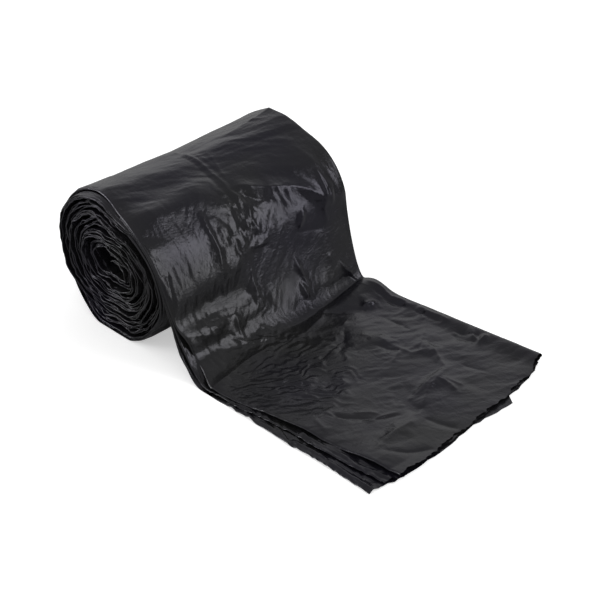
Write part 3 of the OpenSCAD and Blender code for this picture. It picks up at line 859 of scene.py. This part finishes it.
def add_edge_plies():
    """Edges of loose plies, side by side where the outer turn is drawn in from the near end."""
    i = arc_places(OUTER_FROM - 31, OUTER_FROM + 3, 1.2)
    a = arc_of(i)
    for n in range(3):
        start = near_y(i) + 1.4 + 2.2 * n + 0.5 * soft_noise(a / 24, 0 * a, 620 + n)
        start = start + 0.3 * facet_noise(a / 6, 0 * a, 630 + n)
        I, S = np.meshgrid(i, np.linspace(0, 1, 9), indexing="ij")
        y = start[:, None] + 13 * S
        v = share_of_roll(y)
        h = 1.75 + 0.32 * n + 0.15 * crumple(arc_of(I), y, 7, 2.4, 80, 640 + n)
        # The very edge turns down
        h[:, 0] -= 0.35
        y[:, 1] = y[:, 0] + 0.25
        add_film(f"film_edge_{n}", place_points(I, v, y, h))


def add_rolled_edge():
    """The far edge of the unrolled end: a fold that rolls up into a small open tube."""
    i = arc_places(LANDED + 8, LAST + 0.35, 1.3)
    t = np.radians(np.linspace(-250, 80, 20))
    I, T = np.meshgrid(i, t, indexing="ij")
    a = arc_of(I)
    grow = rise(I, LANDED + 8, LAST - 3)
    size = lerp(0.9, 2.15, grow) * (1 + 0.12 * soft_noise(a / 9, T, 600))
    x, _ = centre(I, 1.0)
    x = x + 0.8 * facet_noise(T * 2, 0 * T, 606) * rise(I, LAST - 1, LAST + END_LAP)
    y = far_y(I) - 1.3 + size * np.cos(T) + 0.4 * soft_noise(a / 13, 0 * a, 604)
    z = 0.3 + size * 0.95 * (1 + np.sin(T))
    add_film("film_rolled_edge", np.stack([x, y, np.maximum(z, FLOOR_SKIN)], -1))


def add_turns():
    """The turns inside the roll, between the folds of its two ends."""
    I, S = np.meshgrid(arc_places(1, OUTER_FROM - 2, 3.0), np.linspace(-1, 1, 11), indexing="ij")
    y = S * (STRIP_W / 2 - 18)
    add_film("film_turns", place_points(I, share_of_roll(y), y, 0 * I))


def add_core():
    """The innermost turn, which shows all the way through the open core."""
    I, S = np.meshgrid(arc_places(0, 1.3 * TURN_STEPS, 1.4), np.linspace(-1, 1, 90), indexing="ij")
    y = S * (STRIP_W / 2 - 6)
    h = -STRIP_T / 2 + layers(arc_of(I), y, CORE_FOLDS)
    add_film("film_core", place_points(I, share_of_roll(y), y, h))


add_top()
for ply in range(3):
    add_folds(f"near_folds_{ply}", ply, far=0, step=1.15, start=-9 + 4 * ply, deep=24.0, across=8)
    add_folds(f"far_folds_{ply}", ply, far=1, step=2.2, start=0, deep=22.0, across=5)
add_lower("film_middle", 1, high=0.35, back_share=0.5, reach=0.3, seed=500)
add_lower("film_lowest", 0, high=-0.75, back_share=0.0, reach=0.9, seed=520)
add_edge_plies()
add_rolled_edge()
add_turns()
add_core()

# Stage: a plain pale floor. Half its width in metres, and how bright it looks.
FLOOR_HALF = 4.0
FLOOR_GLOW, FLOOR_MIRRORED = 0.45, 0.4


def stage_material():
    """White to the camera, a little lighter than it is lit, and darker in the film's sheen."""
    m = bpy.data.materials.new("stage_floor")
    m.use_nodes = True
    nodes, links = m.node_tree.nodes, m.node_tree.links
    shader = nodes["Principled BSDF"]
    shader.inputs["Base Color"].default_value = (0.9, 0.9, 0.9, 1)
    shader.inputs["Roughness"].default_value = 0.9
    path = nodes.new("ShaderNodeLightPath")
    dark = nodes.new("ShaderNodeBsdfDiffuse")
    dark.inputs["Color"].default_value = (FLOOR_MIRRORED, FLOOR_MIRRORED, FLOOR_MIRRORED, 1)
    glow = nodes.new("ShaderNodeEmission")
    glow.inputs["Strength"].default_value = FLOOR_GLOW
    lift = nodes.new("ShaderNodeAddShader")
    links.new(shader.outputs["BSDF"], lift.inputs[0])
    links.new(glow.outputs["Emission"], lift.inputs[1])
    seen = nodes.new("ShaderNodeMixShader")
    links.new(path.outputs["Is Camera Ray"], seen.inputs["Fac"])
    links.new(shader.outputs["BSDF"], seen.inputs[1])
    links.new(lift.outputs["Shader"], seen.inputs[2])
    mirrored = nodes.new("ShaderNodeMixShader")
    links.new(path.outputs["Is Glossy Ray"], mirrored.inputs["Fac"])
    links.new(seen.outputs["Shader"], mirrored.inputs[1])
    links.new(dark.outputs["BSDF"], mirrored.inputs[2])
    links.new(mirrored.outputs["Shader"], nodes["Material Output"].inputs["Surface"])
    return m


def add_floor():
    """The floor that the roll rests on."""
    half = FLOOR_HALF
    mesh = bpy.data.meshes.new("stage_floor")
    corners = [(-half, -half, 0), (half, -half, 0), (half, half, 0), (-half, half, 0)]
    mesh.from_pydata(corners, [], [(0, 1, 2, 3)])
    mesh.materials.append(stage_material())
    floor = bpy.data.objects.new("stage_floor", mesh)
    bpy.context.scene.collection.objects.link(floor)


add_floor()

# World: white to the camera and through film, and plain soft light otherwise. In the film's sheen
# it is dimmer overhead and close to the horizon, and darkest on the right.
WORLD_SEEN, WORLD_SOFT, WORLD_RIGHT = 1.0, 0.72, 0.22
RIGHT_WAY = (0.82, 0.57, 0.0)


def make_world():
    """The sky, by the kind of ray that meets it."""
    world = bpy.data.worlds.new("studio")
    bpy.context.scene.world = world
    world.use_nodes = True
    tree = world.node_tree
    nodes, links = tree.nodes, tree.links
    background = nodes["Background"]
    path = nodes.new("ShaderNodeLightPath")
    sky = nodes.new("ShaderNodeTexCoord")
    split = nodes.new("ShaderNodeSeparateXYZ")
    links.new(sky.outputs["Generated"], split.inputs["Vector"])
    overhead = map_range(tree, split.outputs["Z"], (0.45, 0.85), (0.80, 0.41))
    horizon = map_range(tree, split.outputs["Z"], (0.08, 0.40), (0.62, 1.0))
    sheen = nodes.new("ShaderNodeMath")
    sheen.operation = "MULTIPLY"
    links.new(overhead, sheen.inputs[0])
    links.new(horizon, sheen.inputs[1])
    toward = nodes.new("ShaderNodeVectorMath")
    toward.operation = "DOT_PRODUCT"
    toward.inputs[1].default_value = RIGHT_WAY
    links.new(sky.outputs["Generated"], toward.inputs[0])
    right = map_range(tree, toward.outputs["Value"], (0.30, 0.78), (0, 1))

    def mixed(share, low, top):
        """low where share is 0, and top where it is 1."""
        mix = nodes.new("ShaderNodeMix")
        mix.data_type = "FLOAT"
        links.new(share, mix.inputs["Factor"])
        for value, socket in ((low, mix.inputs["A"]), (top, mix.inputs["B"])):
            if isinstance(value, float):
                socket.default_value = value
            else:
                links.new(value, socket)
        return mix.outputs["Result"]

    level = mixed(right, sheen.outputs["Value"], WORLD_RIGHT)
    level = mixed(path.outputs["Is Glossy Ray"], WORLD_SOFT, level)
    level = mixed(path.outputs["Is Camera Ray"], level, WORLD_SEEN)
    level = mixed(path.outputs["Is Transmission Ray"], level, WORLD_SEEN)
    background.inputs["Color"].default_value = (1, 1, 1, 1)
    links.new(level, background.inputs["Strength"])


make_world()

# Soft boxes stand where the film's bright bands reflect them. Each has its name, its height and
# its turn round the object in degrees, its width and height in metres, and its brightness.
LAMPS = [
    ("right_low", 15.0, 28.0, (0.65, 1.06), 4.1),
    ("right_high", 38.0, 35.0, (1.1, 1.38), 3.6),
    ("left", 17.0, -137.0, (1.3, 0.9), 6.5),
]
LAMP_AIM, LAMP_DISTANCE = (0.05, 0.0, 0.05), 3.0


def add_lamp(name, height, turn, size, radiance):
    """A soft box that faces the roll."""
    data = bpy.data.lights.new(name, "AREA")
    data.shape = "RECTANGLE"
    data.size, data.size_y = size
    data.energy = radiance * math.pi * size[0] * size[1]
    light = bpy.data.objects.new(name, data)
    bpy.context.scene.collection.objects.link(light)
    a, e = math.radians(turn), math.radians(height)
    back = np.array([math.cos(a) * math.cos(e), math.sin(a) * math.cos(e), math.sin(e)])
    light.location = np.array(LAMP_AIM) + back * LAMP_DISTANCE
    light.rotation_euler = (math.pi / 2 - e, 0.0, a + math.pi / 2)


for row in LAMPS:
    add_lamp(*row)

scene = bpy.context.scene
scene.view_settings.view_transform = "Standard"
